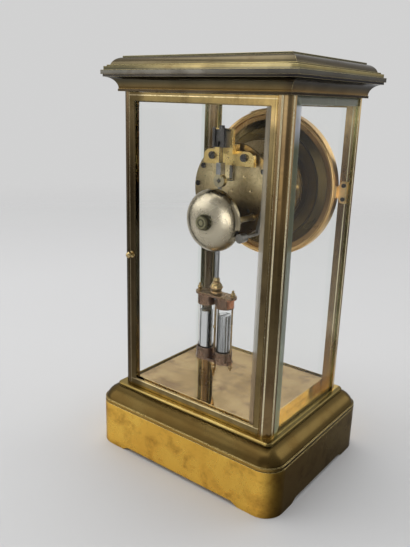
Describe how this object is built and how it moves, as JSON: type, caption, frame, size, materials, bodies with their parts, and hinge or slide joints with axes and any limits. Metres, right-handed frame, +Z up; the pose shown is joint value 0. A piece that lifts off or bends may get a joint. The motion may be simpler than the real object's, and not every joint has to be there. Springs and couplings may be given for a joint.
{
  "type": "crystal regulator clock",
  "caption": "Free-standing four-glass mantel clock: brass case with bevelled panes and hinged doors, striking spring movement with bell, and a mercury jar pendulum.",
  "frame": {"origin": "middle of the base's footprint, at the level of the feet", "axes": "+X to the right seen from the dial, +Y towards the back door, +Z up"},
  "size_m": [0.156, 0.126, 0.279],
  "materials": {
    "base_brass": "polished, warm",
    "floor_brass": "polished sheet",
    "case_brass": "lacquered, toned",
    "pane_glass": "clear, bevelled",
    "dark_steel": "dulled",
    "dial_enamel": "white enamel",
    "blued_steel": "blued",
    "movement_brass": "satin, toned",
    "cock_brass": "bright",
    "bell_metal": "satin silvered",
    "copper_brass": "coppery, dulled",
    "mercury_metal": "liquid metal"
  },
  "bodies": {
    "case": {"base_plinth": "base_brass", "floor_plate": "floor_brass", "front_left_post": "case_brass", "front_right_post": "case_brass", "rear_left_post": "case_brass", "rear_right_post": "case_brass", "cornice_moulding": "case_brass", "top_cap": "case_brass", "left_pane": "pane_glass", "right_pane": "pane_glass", "case_screws": "dark_steel", "dial_ring": "movement_brass", "dial_lugs": "movement_brass", "dial_pan": "movement_brass", "dial": "dial_enamel", "front_plate": "movement_brass", "back_plate": "movement_brass", "pillars": "movement_brass", "movement_screws": "dark_steel", "clicks": "dark_steel", "back_cock": "cock_brass", "suspension_block": "dark_steel", "bell": "bell_metal", "bell_stand": "movement_brass", "bell_nut": "movement_brass"},
    "rear_door": {"rear_door_frame": "case_brass", "rear_door_glass": "pane_glass", "rear_door_knob": "case_brass", "rear_door_pins": "dark_steel"},
    "front_door": {"front_door_frame": "case_brass", "front_door_glass": "pane_glass", "front_door_knob": "case_brass", "front_door_pins": "dark_steel"},
    "going_winder": {"going_winding_arbor": "dark_steel"},
    "going_spring_barrel": {"going_barrel": "movement_brass", "going_mainspring": "dark_steel"},
    "intermediate": {"intermediate_wheel": "movement_brass"},
    "centre": {"centre_wheel": "movement_brass", "minute_hand": "blued_steel", "hand_nut": "movement_brass"},
    "third": {"third_wheel": "movement_brass"},
    "escape": {"escape_wheel": "movement_brass"},
    "pallets": {"anchor": "dark_steel", "crutch": "dark_steel"},
    "minute_work": {"minute_wheel": "movement_brass"},
    "hour": {"hour_wheel": "movement_brass", "hour_hand": "blued_steel"},
    "strike_winder": {"strike_winding_arbor": "dark_steel"},
    "strike_spring_barrel": {"strike_barrel": "movement_brass", "strike_mainspring": "dark_steel"},
    "strike_second": {"strike_second_wheel": "movement_brass"},
    "pin": {"pin_wheel": "movement_brass"},
    "locking": {"locking_wheel": "movement_brass"},
    "fly_vane": {"fly": "movement_brass"},
    "striker": {"hammer": "dark_steel"},
    "pendulum": {"suspension_spring": "dark_steel", "pendulum_rod": "dark_steel", "jar_frame": "copper_brass", "mercury_jars": "pane_glass", "mercury": "mercury_metal"}
  },
  "joints": [
    {"name": "rear_door_swing", "type": "hinge", "parent": "case", "child": "rear_door", "pos_m": [-0.0544, 0.04675, 0.047], "axis": [0, 0, 1], "range_deg": [0, 90]},
    {"name": "front_door_swing", "type": "hinge", "parent": "case", "child": "front_door", "pos_m": [-0.0544, -0.04675, 0.047], "axis": [0, 0, 1], "range_deg": [-90, 0]},
    {"name": "pendulum_swing", "type": "hinge", "parent": "case", "child": "pendulum", "pos_m": [0, 0.0222, 0.2169], "axis": [0, 1, 0], "range_deg": [-4, 4]},
    {"name": "pallet_rock", "type": "hinge", "parent": "case", "child": "pallets", "pos_m": [0, 0.0082, 0.2169], "axis": [0, 1, 0], "range_deg": [-4, 4]},
    {"name": "centre_spin", "type": "hinge", "parent": "case", "child": "centre", "pos_m": [0, 0, 0.195], "axis": [0, 1, 0], "continuous": true},
    {"name": "intermediate_spin", "type": "hinge", "parent": "case", "child": "intermediate", "pos_m": [0.00041, 0, 0.18421], "axis": [0, 1, 0], "continuous": true},
    {"name": "going_barrel_spin", "type": "hinge", "parent": "case", "child": "going_spring_barrel", "pos_m": [0.0138, 0, 0.1825], "axis": [0, 1, 0], "continuous": true},
    {"name": "third_spin", "type": "hinge", "parent": "case", "child": "third", "pos_m": [0.00657, 0, 0.20238], "axis": [0, 1, 0], "continuous": true},
    {"name": "escape_spin", "type": "hinge", "parent": "case", "child": "escape", "pos_m": [0, 0, 0.208], "axis": [0, 1, 0], "continuous": true},
    {"name": "minute_wheel_spin", "type": "hinge", "parent": "case", "child": "minute_work", "pos_m": [-0.0048, 0, 0.20331], "axis": [0, 1, 0], "continuous": true},
    {"name": "hour_spin", "type": "hinge", "parent": "case", "child": "hour", "pos_m": [0, 0, 0.195], "axis": [0, 1, 0], "continuous": true},
    {"name": "going_winding", "type": "hinge", "parent": "case", "child": "going_winder", "pos_m": [0.0138, 0, 0.1825], "axis": [0, 1, 0], "range_deg": [0, 1800]},
    {"name": "pin_wheel_spin", "type": "hinge", "parent": "case", "child": "pin", "pos_m": [-0.00972, 0, 0.20506], "axis": [0, 1, 0], "continuous": true},
    {"name": "strike_second_spin", "type": "hinge", "parent": "case", "child": "strike_second", "pos_m": [-0.01545, 0, 0.1959], "axis": [0, 1, 0], "continuous": true},
    {"name": "strike_barrel_spin", "type": "hinge", "parent": "case", "child": "strike_spring_barrel", "pos_m": [-0.0138, 0, 0.1825], "axis": [0, 1, 0], "continuous": true},
    {"name": "locking_spin", "type": "hinge", "parent": "case", "child": "locking", "pos_m": [-0.01272, 0, 0.21191], "axis": [0, 1, 0], "continuous": true},
    {"name": "fly_spin", "type": "hinge", "parent": "case", "child": "fly_vane", "pos_m": [-0.00852, 0, 0.21562], "axis": [0, 1, 0], "continuous": true},
    {"name": "strike_winding", "type": "hinge", "parent": "case", "child": "strike_winder", "pos_m": [-0.0138, 0, 0.1825], "axis": [0, 1, 0], "range_deg": [0, 1800]},
    {"name": "hammer_lift", "type": "hinge", "parent": "case", "child": "striker", "pos_m": [-0.0275, 0.0082, 0.19], "axis": [0, 1, 0], "range_deg": [0, 18]}
  ],
  "couplings": [
    {"joint": "pallet_rock", "follows": "pendulum_swing", "ratio": 1},
    {"joint": "intermediate_spin", "follows": "centre_spin", "ratio": -0.14286},
    {"joint": "going_barrel_spin", "follows": "centre_spin", "ratio": 0.017857},
    {"joint": "third_spin", "follows": "centre_spin", "ratio": -12},
    {"joint": "escape_spin", "follows": "centre_spin", "ratio": 144},
    {"joint": "minute_wheel_spin", "follows": "centre_spin", "ratio": -0.33333},
    {"joint": "hour_spin", "follows": "centre_spin", "ratio": 0.083333},
    {"joint": "strike_second_spin", "follows": "pin_wheel_spin", "ratio": -0.14286},
    {"joint": "strike_barrel_spin", "follows": "pin_wheel_spin", "ratio": 0.017857},
    {"joint": "locking_spin", "follows": "pin_wheel_spin", "ratio": -7.5},
    {"joint": "fly_spin", "follows": "pin_wheel_spin", "ratio": 45}
  ]
}
